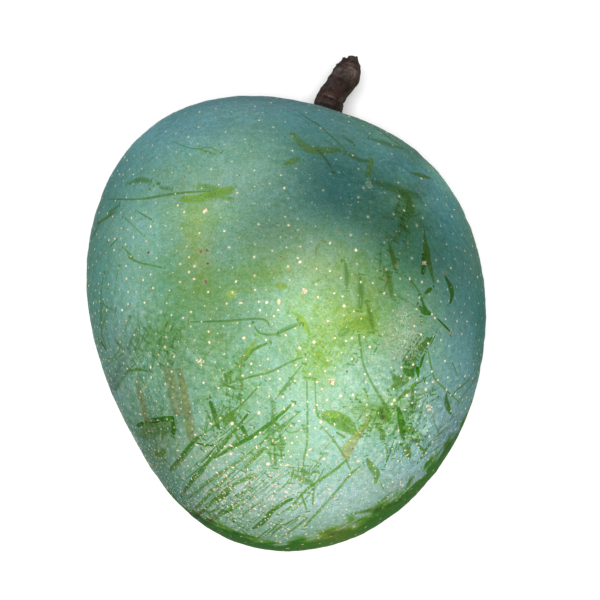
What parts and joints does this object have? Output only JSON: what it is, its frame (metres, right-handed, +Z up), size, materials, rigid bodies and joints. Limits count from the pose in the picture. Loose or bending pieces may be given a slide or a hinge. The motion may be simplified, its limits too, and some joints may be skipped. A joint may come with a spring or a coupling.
{
  "type": "mango",
  "caption": "Large plump green mango with a woody stalk stub, lying on one cheek on a small flat spot.",
  "frame": {"origin": "middle of the small flat spot that the fruit rests on, straight below its centre of mass", "axes": "+Y along the fruit from its apex to its stem end, +Z up through the upper cheek, +X to the right of someone looking down on it with the stalk away from them"},
  "size_m": [0.1062, 0.1336, 0.0924],
  "materials": {
    "skin": "fruit skin: dark green under a thin matt blue-green wax bloom, rubbed through in scratches and patches, with pale corky dots",
    "stalk_bark": "dry very dark brown bark with ring folds, an old bud scar and a rough broken tip"
  },
  "bodies": {
    "root": {"fruit": "skin", "stalk": "stalk_bark"}
  },
  "joints": []
}
